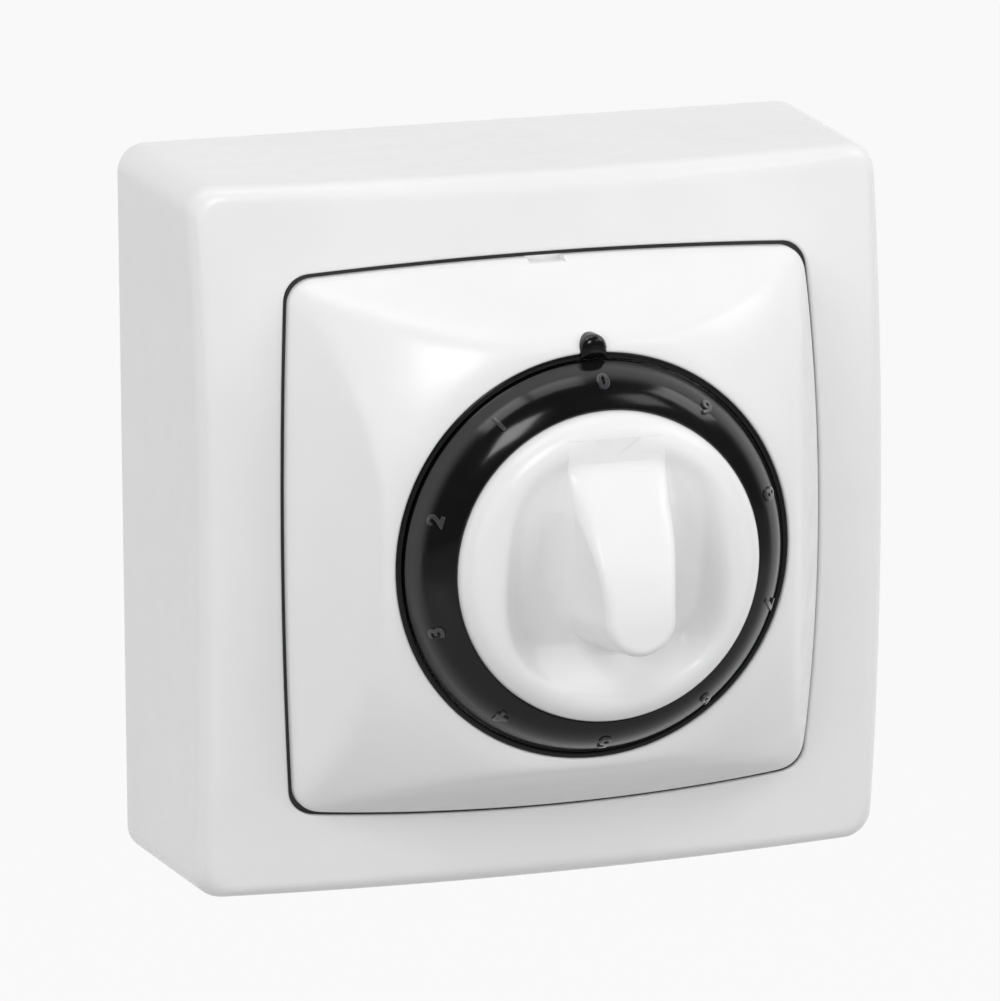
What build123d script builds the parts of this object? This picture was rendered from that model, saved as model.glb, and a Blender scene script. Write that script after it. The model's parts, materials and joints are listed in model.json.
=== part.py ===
"""Surface-mounted clockwork timer switch, in millimetres.

The wall is the plane y = 0 and the front looks along -Y, with +Z up. The origin is the centre
of the back face. Depth is measured from the wall towards the front, so a plane at depth d is
Plane.XZ.offset(d). The dial turns about the Y axis through the origin.
"""

from build123d import *
from math import atan2, cos, degrees, pi, radians, sin, tan
import os

os.makedirs("parts", exist_ok=True)

# Surround: a deep square frame whose front swells up to the cover
surround_width = 86.0
surround_corner = 4.5
side_draft = 2.8
front_sphere = 139.7
front_apex = 36.2
surround_wall = 2.2
border_thickness = 2.4

# Seam between the surround and the cover, a square with bowed sides
seam_margin = 7.6
seam_bow = 1.5
seam_corner = 2.8
seam_gap = 0.35

# Cover: a cushion that climbs from the seam to the rim round the dial
skirt_wall = 1.6
rim_land = 1.1
side_sphere = 150.0
dome_sphere = 54.3
cover_seat_gap = 0.3
well_depth = 2.4
well_floor = 2.0
hollow_lift = 8.0
hollow_corner = 3.0
hollow_corner_taper = 47.6
notch_width = 4.4
notch_height = 0.9
notch_depth = 1.6
notch_side = -1.0

# Dial ring, index ring and knob
dial_radius = 23.0
dial_gap = 0.3
index_wall = 0.6
index_stand = 0.5
index_tab_width = 3.3
index_tab_reach = 3.2
index_tab_round = 1.1
index_tab_depth = 3.6
index_tab_stand = 1.3
dial_face_width = 4.8
dial_lift = 1.2
dial_edge_height = 1.8
dial_face_rise = 4.3
knob_lift = 0.6
knob_clear = 0.5
shoulder_width = 3.1
shoulder_height = 2.9
shoulder_turn = 0.9
shoulder_turn_height = 1.75
knob_wall = 1.9
knob_hollow = 4.4
dish_foot = 7.4
dish_top_land = 2.1
dish_bottom = 10.6
dish_middle_height = 1.35
dish_floor_rise = 3.2
dish_flare = 22.0
fin_top_height = 2.9
fin_middle_height = 9.5
fin_bottom_height = 11.8
fin_top_inset = 6.0
fin_middle_place = 3.5
fin_bottom_place = -5.3
fin_top_width = 12.5
fin_bottom_width = 8.2
fin_draft = 7.0
fin_nose_end = -8.0
fin_root_inset = 1.2
fin_sink = 1.3
fin_extra = 1.0

# Spindle and its bearings
spindle_radius = 3.0
spindle_flat = 0.8
spindle_reach = 7.7
spindle_end_gap = 0.5
spindle_tail = 3.0
running_gap = 0.05
seat_gap = 0.02
bush_wall = 1.5
clip_groove = 0.5
clip_thickness = 0.8
clip_gap = 0.1
clip_stand = 2.0
clip_mouth = 4.2
bush_stand = 2.0
hub_wall = 1.6

# Wall base
base_thickness = 2.5
base_gap = 0.6
base_rim_depth = 7.0
base_rim_wall = 1.6
wall_slot_spacing = 60.0
wall_slot_length = 9.0
wall_slot_width = 4.4
cable_entry_width = 22.0
cable_entry_height = 14.0
cable_entry_place = -24.0
cable_entry_corner = 2.0
post_margin = 3.5
post_half = 3.6
post_bore = 10.0

# Chassis plate that the works are screwed to
chassis_depth = 22.0
chassis_thickness = 1.2
chassis_margin = 4.3
screw_radius = 1.5
screw_head_radius = 2.7
screw_head_height = 1.8
screw_length = 8.0
hole_clear = 0.25

# Movement between two brass plates
plate_thickness = 1.2
plate_margin = 0.27
plate_clear = 0.7
pillar_inset = 3.4
pillar_radius = 2.0
pivot_radius = 0.6
arbor_radius = 0.9
spacer_inset = 5.2
spacer_radius = 3.0
spacer_length = 3.8
spacer_bore_depth = 3.0
small_screw_radius = 1.0
small_screw_length = 4.0
small_head_height = 1.2
cover_head_height = 1.2
end_shake = 0.15
spring_width = 5.0
spring_strip = 0.25
spring_inner = 3.6
spring_outer = 10.4
spring_turns = 5.0
spring_clear = 0.5
spring_steps = 12
spring_post_radius = 0.8

# Gear train: module, tooth counts and the directions in which each arbor stands
great_teeth = 48
great_module = 0.525
pinion_teeth = 8
second_teeth = 40
second_module = 0.45
third_teeth = 40
third_module = 0.375
escape_teeth = 15
escape_radius = 6.5
escape_tooth = 1.5
second_direction = 150.0
third_direction = 60.0
escape_direction = 0.0
pallet_direction = -20.0
pallet_stand = 2.0
pallet_pin_radius = 0.25
pallet_pin_clear = 0.06
pallet_span = 3.5
escape_root_half = 0.42
escape_tip_half = 0.1
anchor_width = 1.4
anchor_thickness = 0.7
second_clear = 1.2
third_clear = 0.9
anchor_clear = 0.4
balance_clear = 0.2
balance_rim = 1.2
balance_radius = 6.0
wheel_thickness = 0.9
pinion_extra = 0.3

# Switch behind the chassis
cam_gap = 5.0
cam_thickness = 3.0
cam_radius = 5.6
cam_nose = 8.0
cam_nose_radius = 1.2
blade_end_gap = 0.5
blade_hump_half = 2.6
blade_hump_height = 1.45
blade_drop = 1.0
contact_overlap = 4.0
contact_opening = 2.1
strip_bend = 0.6
contact_gap = 0.3
blade_thickness = 0.4
blade_width = 4.0
block_side_gap = 0.9
block_bottom_gap = 0.4
block_top = -4.5
block_base_gap = 6.0
block_floor = 1.6
block_wall = 1.5
terminal_side_gap = 1.0
terminal_width = 7.0
terminal_depth = 8.0
wire_radius = 1.8
clamp_radius = 1.3
clamp_length = 3.0
terminal_screw_radius = 1.7

# How far a cut runs past the face that it opens
past = 1.0


def front_plane(depth):
    """The plane that faces the front at a depth from the wall."""
    return Plane.XZ.offset(depth)


def reach(start, distance, direction):
    """The point at a distance and a direction in degrees from a start point."""
    angle = radians(direction)
    return (start[0] + distance * cos(angle), start[1] + distance * sin(angle))


def rod(radius, back, front, centres=((0, 0),)):
    """Round rods that run forwards from one depth to another, one at each centre."""
    with BuildPart() as body:
        with BuildSketch(front_plane(back)):
            with Locations(*centres):
                Circle(radius)
        extrude(amount=front - back)
    return body.part


def hexagons(radius, back, front, centres):
    """Hexagonal rods that run forwards from one depth to another, one at each centre."""
    with BuildPart() as body:
        with BuildSketch(front_plane(back)):
            with Locations(*centres):
                RegularPolygon(radius, 6)
        extrude(amount=front - back)
    return body.part


def square(depth, half):
    """A plain square at a depth."""
    with BuildSketch(front_plane(depth)) as outline:
        Rectangle(2 * half, 2 * half)
    return outline.sketch


def cut_square(depth, half, corner):
    """A square at a depth whose corners are cut off."""
    with BuildSketch(front_plane(depth)) as outline:
        Rectangle(2 * half, 2 * half)
        chamfer(outline.vertices(), corner)
    return outline.sketch


def seam_outline(depth, half):
    """A square at a depth, whose sides bow out and whose corners are rounded."""
    edge = half - seam_bow
    with BuildSketch(front_plane(depth)) as outline:
        with BuildLine():
            ThreePointArc((-edge, edge), (0, half), (edge, edge))
            ThreePointArc((edge, edge), (half, 0), (edge, -edge))
            ThreePointArc((edge, -edge), (0, -half), (-edge, -edge))
            ThreePointArc((-edge, -edge), (-half, 0), (-edge, edge))
        make_face()
        fillet(outline.vertices(), seam_corner)
    return outline.sketch


def sphere_depth(reach_out):
    """Depth of the front sphere at a distance from the axis."""
    return front_apex - front_sphere + (front_sphere**2 - reach_out**2) ** 0.5


def ball(radius, depth, up=0.0, side=0.0):
    """A ball whose centre lies at a depth from the wall, and up or to the side of the axis."""
    with BuildPart() as body:
        with Locations((side, -depth, up)):
            Sphere(radius)
    return body.part


def gear_points(teeth, module, tip_share=0.26, root_share=0.62, depth_out=0.9, depth_in=1.15):
    """Corner points of a wheel with straight-flanked teeth, one tooth on the +X axis."""
    pitch = 2 * pi / teeth
    radius = teeth * module / 2
    tip = radius + depth_out * module
    root = radius - depth_in * module
    points = []
    for tooth in range(teeth):
        middle = tooth * pitch
        for size, share in ((root, -root_share), (tip, -tip_share), (tip, tip_share), (root, root_share)):
            angle = middle + share * pitch / 2
            points.append((size * cos(angle), size * sin(angle)))
    return points


def turned(points, degrees_turned, centre):
    """Points turned about the origin and moved to a centre."""
    angle = radians(degrees_turned)
    return [
        (centre[0] + x * cos(angle) - y * sin(angle), centre[1] + x * sin(angle) + y * cos(angle))
        for x, y in points
    ]


# Where each arbor stands on the plates
pinion_radius_big = pinion_teeth * great_module / 2
great_radius = great_teeth * great_module / 2
second_radius = second_teeth * second_module / 2
third_pinion_radius = pinion_teeth * second_module / 2
third_radius = third_teeth * third_module / 2
escape_pinion_radius = pinion_teeth * third_module / 2
spindle_at = (0.0, 0.0)
second_at = reach(spindle_at, great_radius + pinion_radius_big, second_direction)
third_at = reach(second_at, second_radius + third_pinion_radius, third_direction)
escape_at = reach(third_at, third_radius + escape_pinion_radius, escape_direction)
pallet_at = reach(escape_at, escape_radius + pallet_stand, pallet_direction)

# Sizes across, from the movement out to the seam and the surround
plate_half = second_radius - second_at[0] + plate_margin
pillar_place = plate_half - pillar_inset
post_place = plate_half + post_margin
chassis_half = post_place + chassis_margin
seam_half = post_place + seam_margin
surround_half = surround_width / 2
knob_radius = dial_radius - dial_face_width
spacer_place = knob_radius - spacer_inset
well_radius = dial_radius + dial_gap + index_wall + seat_gap
pillar_places = [(side * pillar_place, height * pillar_place) for side in (-1, 1) for height in (-1, 1)]
post_places = [(side * post_place, height * post_place) for side in (-1, 1) for height in (-1, 1)]
cover_screw_places = ((-spacer_place, 0), (spacer_place, 0))

# Layers of the works, from the chassis forwards
chassis_front = chassis_depth + chassis_thickness
back_plate_front = chassis_front + plate_thickness
spring_back = back_plate_front + spring_clear
great_back = spring_back + spring_width + spring_clear
second_back = great_back + wheel_thickness + second_clear
third_back = second_back + wheel_thickness + third_clear
balance_back = third_back + wheel_thickness + balance_clear
front_plate_back = balance_back + wheel_thickness + plate_clear
front_plate_front = front_plate_back + plate_thickness

# Depths of the cover, the dial and the knob, which stand on the works
floor_back_depth = front_plate_front + spacer_length
well_floor_depth = floor_back_depth + well_floor
rim_depth = well_floor_depth + well_depth
dial_back_depth = well_floor_depth + dial_lift
dial_edge_depth = dial_back_depth + dial_edge_height
dial_top_depth = dial_edge_depth + dial_face_rise
knob_back_depth = well_floor_depth + knob_lift
spindle_front_depth = dial_top_depth + spindle_reach
hub_top_depth = spindle_front_depth + spindle_end_gap

# Depths of the switch, behind the chassis
cam_depth = chassis_depth - cam_gap - cam_thickness
spindle_back_depth = cam_depth - spindle_tail
block_depth = base_thickness + block_base_gap

# Turn of each wheel that puts a gap opposite the tooth it meshes with
second_pinion_turn = second_direction + 180 + 180 / pinion_teeth
great_turn = second_direction
second_turn = third_direction
third_pinion_turn = third_direction + 180 + 180 / pinion_teeth
third_turn = escape_direction
escape_pinion_turn = escape_direction + 180 + 180 / pinion_teeth


# Surround: a box with drafted sides and a skirt along the seam, its front cut by the sphere
sphere_middle = front_apex - front_sphere
seam_depth = sphere_depth(seam_half)
with BuildPart() as surround_inside:
    extrude(square(0, surround_half - surround_wall), amount=front_apex, taper=side_draft)
    add(ball(front_sphere - border_thickness, sphere_middle), mode=Mode.INTERSECT)
    extrude(seam_outline(chassis_front, seam_half + surround_wall), amount=front_apex, mode=Mode.SUBTRACT)
with BuildPart() as surround:
    with BuildSketch(front_plane(0)):
        RectangleRounded(surround_width, surround_width, surround_corner)
    extrude(amount=front_apex, taper=side_draft)
    add(ball(front_sphere, sphere_middle), mode=Mode.INTERSECT)
    add(surround_inside.part, mode=Mode.SUBTRACT)
    extrude(seam_outline(0, seam_half), amount=rim_depth, mode=Mode.SUBTRACT)
surround.part.label = "surround"
export_step(surround.part, "parts/surround.step")


# Cover: a four-sided cushion inside the seam, with a skirt along the seam and a well for the dial
cover_back = chassis_front + cover_seat_gap
edge_half = seam_half - seam_gap
rim_half = well_radius + rim_land
slope = (seam_half - rim_half, rim_depth - seam_depth)
slope_length = (slope[0] ** 2 + slope[1] ** 2) ** 0.5
sphere_back = (side_sphere**2 - slope_length**2 / 4) ** 0.5 / slope_length
side_middle = (seam_half + rim_half) / 2 - slope[1] * sphere_back
side_middle_depth = (seam_depth + rim_depth) / 2 - slope[0] * sphere_back
dome_middle = rim_depth - (dome_sphere**2 - rim_half**2) ** 0.5
tab_centre = (0, well_radius + index_tab_reach - index_tab_width / 2)
inside_half = edge_half - seam_bow - skirt_wall
inside_edge = cover_back + hollow_lift
inside_rise = floor_back_depth - inside_edge
inside_taper = degrees(atan2(inside_half - rim_half, inside_rise))
with BuildPart() as inside_corners:
    with BuildSketch(front_plane(inside_edge)):
        across = (2 * inside_half - hollow_corner) * 2**0.5
        Rectangle(across, across, rotation=45)
    extrude(amount=inside_rise, taper=hollow_corner_taper)
with BuildPart() as cover_inside:
    extrude(square(inside_edge, inside_half), amount=inside_rise, taper=inside_taper)
    add(inside_corners.part, mode=Mode.INTERSECT)
    extrude(cut_square(cover_back, inside_half, hollow_corner), amount=hollow_lift)
with BuildPart() as cover_plate:
    extrude(seam_outline(cover_back, edge_half), amount=rim_depth - cover_back)
    for side, up in ((0, 1), (1, 0), (0, -1), (-1, 0)):
        shape = ball(side_sphere, side_middle_depth, up * side_middle, side * side_middle)
        add(shape, mode=Mode.INTERSECT)
    add(ball(dome_sphere, dome_middle), mode=Mode.INTERSECT)
    add(cover_inside.part, mode=Mode.SUBTRACT)
    add(rod(well_radius, well_floor_depth, rim_depth + past), mode=Mode.SUBTRACT)
    add(rod(spindle_radius + knob_clear, 0, well_floor_depth + past), mode=Mode.SUBTRACT)
    with Locations(front_plane(well_floor_depth)):
        with Locations(*cover_screw_places):
            hole = screw_radius + hole_clear
            CounterBoreHole(hole, screw_head_radius + hole_clear, cover_head_height, well_floor + past)
    with BuildSketch(front_plane(rim_depth - index_tab_depth)):
        with Locations(tab_centre):
            Circle(index_tab_width / 2 + seat_gap)
        with Locations((0, tab_centre[1] / 2)):
            Rectangle(index_tab_width + 2 * seat_gap, tab_centre[1])
    extrude(amount=index_tab_depth + past, mode=Mode.SUBTRACT)
    with BuildSketch(front_plane(seam_depth - notch_depth)):
        with Locations((notch_side, edge_half)):
            Rectangle(notch_width, 2 * notch_height)
    extrude(amount=notch_depth + 2 * past, mode=Mode.SUBTRACT)
cover_plate.part.label = "cover_plate"
export_step(cover_plate.part, "parts/cover_plate.step")

# Cheese-head screws that hold the cover to the spacers
cover_screw_seat = well_floor_depth - cover_head_height
with BuildPart() as cover_screws:
    add(rod(screw_radius, floor_back_depth - spacer_bore_depth, cover_screw_seat, cover_screw_places))
    add(rod(screw_head_radius, cover_screw_seat, well_floor_depth, cover_screw_places))
cover_screws.part.label = "cover_screws"
export_step(cover_screws.part, "parts/cover_screws.step")

# Index ring: a thin ring round the dial with the tab that marks the reading
index_inner = dial_radius + dial_gap
index_outer = index_inner + index_wall
index_front = rim_depth + index_stand
with BuildPart() as index_ring:
    with BuildSketch(front_plane(rim_depth - index_tab_depth)):
        with Locations(tab_centre):
            Circle(index_tab_width / 2)
        with Locations((0, tab_centre[1] / 2)):
            Rectangle(index_tab_width, tab_centre[1])
    extrude(amount=index_tab_depth + index_tab_stand)
    crest = index_ring.edges().group_by(Axis.Y)[0]
    chamfer(crest, index_tab_round)
    add(rod(index_inner, 0, rim_depth + index_tab_stand), mode=Mode.SUBTRACT)
    with BuildSketch(Plane.XY):
        with BuildLine():
            Polyline(
                (index_inner, -well_floor_depth),
                (index_outer, -well_floor_depth),
                (index_outer, -index_front),
                (index_inner, -index_front),
                close=True,
            )
        make_face()
    revolve(axis=Axis.Y)
index_ring.part.label = "index_ring"
export_step(index_ring.part, "parts/index_ring.step")

# Dial ring: it carries the numerals and turns with the knob
with BuildPart() as dial_ring:
    bore = knob_radius + seat_gap
    with BuildSketch(Plane.XY):
        with BuildLine():
            Polyline(
                (bore, -dial_back_depth),
                (dial_radius, -dial_back_depth),
                (dial_radius, -dial_edge_depth),
                (bore, -dial_top_depth),
                close=True,
            )
        make_face()
    revolve(axis=Axis.Y)
dial_ring.part.label = "dial_ring"
export_step(dial_ring.part, "parts/dial_ring.step")


# Knob: a cap with a dished face and a tall tapering grip
fin_top_place = knob_radius - fin_top_inset
fin_root_place = knob_radius - fin_root_inset
fin_foot_depth = dial_top_depth - fin_sink


def fin_outline(depth):
    """Front outline of the grip at a depth, wider towards the wall by its draft."""
    spread = (dial_top_depth + fin_bottom_height - depth) * tan(radians(fin_draft))
    nose = fin_bottom_width / 2 + spread
    rise = (fin_bottom_height - fin_top_height) * tan(radians(fin_draft))
    shoulder = fin_top_width / 2 - rise + spread
    nose_place = fin_nose_end + fin_bottom_width / 2
    with BuildSketch(front_plane(depth)) as outline:
        with BuildLine():
            Polyline(
                (nose, nose_place),
                (shoulder, fin_root_place),
                (-shoulder, fin_root_place),
                (-nose, nose_place),
            )
            ThreePointArc((-nose, nose_place), (0, nose_place - nose), (nose, nose_place))
        make_face()
    return outline.sketch


with BuildPart() as grip:
    loft([fin_outline(fin_foot_depth), fin_outline(dial_top_depth + fin_bottom_height + fin_extra)])
    with BuildSketch(Plane.YZ) as side_view:
        with BuildLine():
            Spline(
                (-dial_top_depth - fin_top_height, fin_top_place),
                (-dial_top_depth - fin_middle_height, fin_middle_place),
                (-dial_top_depth - fin_bottom_height, fin_bottom_place),
            )
            Polyline(
                (-dial_top_depth - fin_bottom_height, fin_bottom_place),
                (-dial_top_depth - fin_bottom_height, 2 * fin_nose_end),
                (-fin_foot_depth, 2 * fin_nose_end),
                (-fin_foot_depth, fin_top_place),
                (-dial_top_depth - fin_top_height, fin_top_place),
            )
        make_face()
    extrude(amount=fin_top_width, both=True, mode=Mode.INTERSECT)

dish_top = knob_radius - shoulder_width - dish_top_land
dish_tilt = degrees(atan2(dish_floor_rise, dish_top + dish_bottom))
dish_plane = Plane(
    origin=(0, -dial_top_depth - dish_middle_height, 0),
    x_dir=(1, 0, 0),
    z_dir=(0, -cos(radians(dish_tilt)), -sin(radians(dish_tilt))),
)
with BuildPart() as dish:
    with BuildSketch(dish_plane):
        with BuildLine():
            ThreePointArc((-dish_foot, -dish_bottom), (0, dish_top), (dish_foot, -dish_bottom))
            Line((-dish_foot, -dish_bottom), (dish_foot, -dish_bottom))
        make_face()
    extrude(amount=shoulder_height + past, taper=-dish_flare)

hub_radius = spindle_radius + knob_wall
with BuildPart() as knob:
    with BuildSketch(Plane.XY):
        with BuildLine():
            Polyline(
                (0, -knob_back_depth),
                (knob_radius, -knob_back_depth),
                (knob_radius, -dial_top_depth),
                (knob_radius - shoulder_turn, -dial_top_depth - shoulder_turn_height),
                (knob_radius - shoulder_width, -dial_top_depth - shoulder_height),
                (0, -dial_top_depth - shoulder_height),
                close=True,
            )
        make_face()
    revolve(axis=Axis.Y)
    add(dish.part, mode=Mode.SUBTRACT)
    add(grip.part)
    with BuildSketch(front_plane(knob_back_depth)):
        Circle(knob_radius - knob_wall)
        Circle(hub_radius, mode=Mode.SUBTRACT)
    extrude(amount=knob_hollow, mode=Mode.SUBTRACT)
    with BuildSketch(front_plane(knob_back_depth)):
        Circle(spindle_radius + seat_gap)
        with Locations((0, spindle_radius)):
            Rectangle(2 * spindle_radius, 2 * spindle_flat - 2 * seat_gap, mode=Mode.SUBTRACT)
    extrude(amount=hub_top_depth - knob_back_depth, mode=Mode.SUBTRACT)
knob.part.label = "knob"
export_step(knob.part, "parts/knob.step")

# Spindle: a steel rod with a flat for the knob and a groove for its clip
clip_back = chassis_front - clip_thickness - clip_gap
with BuildPart() as spindle:
    add(rod(spindle_radius, spindle_back_depth, spindle_front_depth))
    with BuildSketch(front_plane(knob_back_depth)):
        with Locations((0, spindle_radius)):
            Rectangle(2 * spindle_radius, 2 * spindle_flat)
    extrude(amount=spindle_front_depth - knob_back_depth, mode=Mode.SUBTRACT)
    with BuildSketch(front_plane(clip_back - seat_gap)):
        Circle(2 * spindle_radius)
        Circle(spindle_radius - clip_groove, mode=Mode.SUBTRACT)
    extrude(amount=clip_thickness + 2 * seat_gap, mode=Mode.SUBTRACT)
spindle.part.label = "spindle"
export_step(spindle.part, "parts/spindle.step")

# Retaining clip: a split ring in the groove
with BuildPart() as retaining_clip:
    with BuildSketch(front_plane(clip_back)):
        Circle(spindle_radius + clip_stand)
        Circle(spindle_radius - clip_groove + seat_gap, mode=Mode.SUBTRACT)
        with Locations((0, -spindle_radius)):
            Rectangle(clip_mouth, 2 * spindle_radius, mode=Mode.SUBTRACT)
    extrude(amount=clip_thickness)
retaining_clip.part.label = "retaining_clip"
export_step(retaining_clip.part, "parts/retaining_clip.step")

# Wall base: the plate that is screwed to the wall, with a rim and four square posts
base_half = surround_half - surround_wall - base_gap
with BuildPart() as wall_base:
    extrude(square(0, base_half), amount=base_rim_depth)
    extrude(square(base_thickness, base_half - base_rim_wall), amount=base_rim_depth, mode=Mode.SUBTRACT)
    with BuildSketch(front_plane(0)):
        with Locations(*post_places):
            Rectangle(2 * post_half, 2 * post_half)
    extrude(amount=chassis_depth)
    bore_back = chassis_depth - post_bore
    add(rod(screw_radius + seat_gap, bore_back, chassis_depth, post_places), mode=Mode.SUBTRACT)
    with BuildSketch(front_plane(0)):
        with Locations((-wall_slot_spacing / 2, 0), (wall_slot_spacing / 2, 0)):
            SlotOverall(wall_slot_length, wall_slot_width)
        with Locations((0, cable_entry_place)):
            RectangleRounded(cable_entry_width, cable_entry_height, cable_entry_corner)
    extrude(amount=base_thickness, mode=Mode.SUBTRACT)
wall_base.part.label = "wall_base"
export_step(wall_base.part, "parts/wall_base.step")

# Chassis: the steel plate across the posts
with BuildPart() as chassis:
    extrude(square(chassis_depth, chassis_half), amount=chassis_thickness)
    with BuildSketch(front_plane(chassis_depth)):
        Circle(spindle_radius + clip_stand + hole_clear)
        with Locations(*post_places):
            Circle(screw_radius + hole_clear)
    extrude(amount=chassis_thickness, mode=Mode.SUBTRACT)
chassis.part.label = "chassis"
export_step(chassis.part, "parts/chassis.step")

# Hexagon-head screws that hold the chassis to the posts
with BuildPart() as chassis_screws:
    add(rod(screw_radius, chassis_front - screw_length, chassis_front, post_places))
    add(hexagons(screw_head_radius, chassis_front, chassis_front + screw_head_height, post_places))
chassis_screws.part.label = "chassis_screws"
export_step(chassis_screws.part, "parts/chassis_screws.step")

# Movement plates, with a bearing hole for each arbor
arbor_places = (second_at, third_at, escape_at, pallet_at)
with BuildPart() as movement_back_plate:
    extrude(square(chassis_front, plate_half), amount=plate_thickness)
    with BuildSketch(front_plane(chassis_front)):
        Circle(spindle_radius + running_gap)
        with Locations(*arbor_places):
            Circle(pivot_radius + running_gap)
    extrude(amount=plate_thickness, mode=Mode.SUBTRACT)
movement_back_plate.part.label = "movement_back_plate"
export_step(movement_back_plate.part, "parts/movement_back_plate.step")

bush_radius = spindle_radius + running_gap + bush_wall
with BuildPart() as movement_front_plate:
    extrude(square(front_plate_back, plate_half), amount=plate_thickness)
    with BuildSketch(front_plane(front_plate_back)):
        Circle(bush_radius + seat_gap)
        with Locations(*arbor_places):
            Circle(pivot_radius + running_gap)
        with Locations(*pillar_places):
            Circle(small_screw_radius + seat_gap)
    extrude(amount=plate_thickness, mode=Mode.SUBTRACT)
movement_front_plate.part.label = "movement_front_plate"
export_step(movement_front_plate.part, "parts/movement_front_plate.step")

# Bush that guides the spindle in the front plate
with BuildPart() as spindle_bush:
    add(rod(bush_radius, front_plate_back, front_plate_front + bush_stand))
    add(rod(spindle_radius + running_gap, 0, rim_depth), mode=Mode.SUBTRACT)
spindle_bush.part.label = "spindle_bush"
export_step(spindle_bush.part, "parts/spindle_bush.step")

# Hexagonal pillars between the plates
with BuildPart() as pillars:
    add(hexagons(pillar_radius, back_plate_front, front_plate_back, pillar_places))
    bore_back = front_plate_back - small_screw_length
    add(rod(small_screw_radius + seat_gap, bore_back, front_plate_back, pillar_places), mode=Mode.SUBTRACT)
pillars.part.label = "pillars"
export_step(pillars.part, "parts/pillars.step")

# Hexagon-head screws that hold the front plate to the pillars
with BuildPart() as plate_screws:
    add(rod(small_screw_radius, front_plate_back - small_screw_length, front_plate_front, pillar_places))
    add(hexagons(pillar_radius, front_plate_front, front_plate_front + small_head_height, pillar_places))
plate_screws.part.label = "plate_screws"
export_step(plate_screws.part, "parts/plate_screws.step")

# Hexagonal spacers on the front plate that carry the cover
with BuildPart() as cover_spacers:
    add(hexagons(spacer_radius, front_plate_front, floor_back_depth, cover_screw_places))
    bore_back = floor_back_depth - spacer_bore_depth
    add(rod(screw_radius + seat_gap, bore_back, floor_back_depth, cover_screw_places), mode=Mode.SUBTRACT)
cover_spacers.part.label = "cover_spacers"
export_step(cover_spacers.part, "parts/cover_spacers.step")

# Mainspring: a flat strip wound in a spiral round the spindle, hooked on a post
spring_points = []
strip_steps = int(spring_turns * spring_steps)
for side in (-1, 1):
    edge = []
    for step in range(strip_steps + 1):
        angle = 2 * pi * step / spring_steps
        radius = spring_inner + (spring_outer - spring_inner) * step / strip_steps + side * spring_strip / 2
        edge.append((radius * cos(angle), radius * sin(angle)))
    spring_points += edge if side < 0 else edge[::-1]
with BuildPart() as mainspring:
    with BuildSketch(front_plane(spring_back)):
        with BuildLine():
            Polyline(*spring_points, close=True)
        make_face()
    extrude(amount=spring_width)
mainspring.part.label = "mainspring"
export_step(mainspring.part, "parts/mainspring.step")

spring_post_at = (spring_outer + spring_strip / 2 + seat_gap + spring_post_radius, 0)
with BuildPart() as spring_post:
    add(rod(spring_post_radius, back_plate_front, spring_back + spring_width, (spring_post_at,)))
spring_post.part.label = "spring_post"
export_step(spring_post.part, "parts/spring_post.step")


# Gear train
def toothed(teeth, module, turn, centre, back, front):
    """A toothed wheel round a centre, from one depth to another."""
    with BuildPart() as body:
        with BuildSketch(front_plane(back)):
            with BuildLine():
                Polyline(*turned(gear_points(teeth, module), turn, centre), close=True)
            make_face()
        extrude(amount=front - back)
    return body.part


with BuildPart() as great_wheel:
    add(toothed(great_teeth, great_module, great_turn, spindle_at, great_back, great_back + wheel_thickness))
    add(rod(spindle_radius + hub_wall, great_back, great_back + 2 * wheel_thickness))
    add(rod(spindle_radius + seat_gap, 0, rim_depth), mode=Mode.SUBTRACT)
great_wheel.part.label = "great_wheel"
export_step(great_wheel.part, "parts/great_wheel.step")

arbor_back = back_plate_front + end_shake
arbor_front = front_plate_back - end_shake
trains = {
    "second": (second_at, pinion_teeth, great_module, second_pinion_turn, great_back),
    "third": (third_at, pinion_teeth, second_module, third_pinion_turn, second_back),
    "escape": (escape_at, pinion_teeth, third_module, escape_pinion_turn, third_back),
}
for name, (centre, teeth, module, turn, layer) in trains.items():
    with BuildPart() as arbor:
        add(rod(arbor_radius, arbor_back, arbor_front, (centre,)))
        add(rod(pivot_radius, chassis_front, front_plate_front, (centre,)))
        pinion_front = layer + wheel_thickness + pinion_extra
        add(toothed(teeth, module, turn, centre, layer - pinion_extra, pinion_front))
    arbor.part.label = name + "_arbor"
    export_step(arbor.part, "parts/" + name + "_arbor.step")

wheels = {
    "second": (second_at, second_teeth, second_module, second_turn, second_back),
    "third": (third_at, third_teeth, third_module, third_turn, third_back),
}
for name, (centre, teeth, module, turn, layer) in wheels.items():
    with BuildPart() as wheel:
        add(toothed(teeth, module, turn, centre, layer, layer + wheel_thickness))
        add(rod(arbor_radius + seat_gap, layer, layer + wheel_thickness, (centre,)), mode=Mode.SUBTRACT)
    wheel.part.label = name + "_wheel"
    export_step(wheel.part, "parts/" + name + "_wheel.step")

# Escape wheel with pointed teeth, and the pin pallets that it drives
escape_points = []
for tooth in range(escape_teeth):
    middle = 2 * pi * tooth / escape_teeth
    root = escape_radius - escape_tooth
    for size, half in ((root, -escape_root_half), (escape_radius, -escape_tip_half),
                       (escape_radius, escape_tip_half), (root, escape_root_half)):
        escape_points.append((size * cos(middle + half / size), size * sin(middle + half / size)))
pin_angle = 360 / escape_teeth * pallet_span / 2
escape_turn = pallet_direction + pin_angle + 360 / escape_teeth / 4
with BuildPart() as escape_wheel:
    with BuildSketch(front_plane(second_back)):
        with BuildLine():
            Polyline(*turned(escape_points, escape_turn, escape_at), close=True)
        make_face()
        with Locations(escape_at):
            Circle(arbor_radius + seat_gap, mode=Mode.SUBTRACT)
    extrude(amount=wheel_thickness)
escape_wheel.part.label = "escape_wheel"
export_step(escape_wheel.part, "parts/escape_wheel.step")

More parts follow.
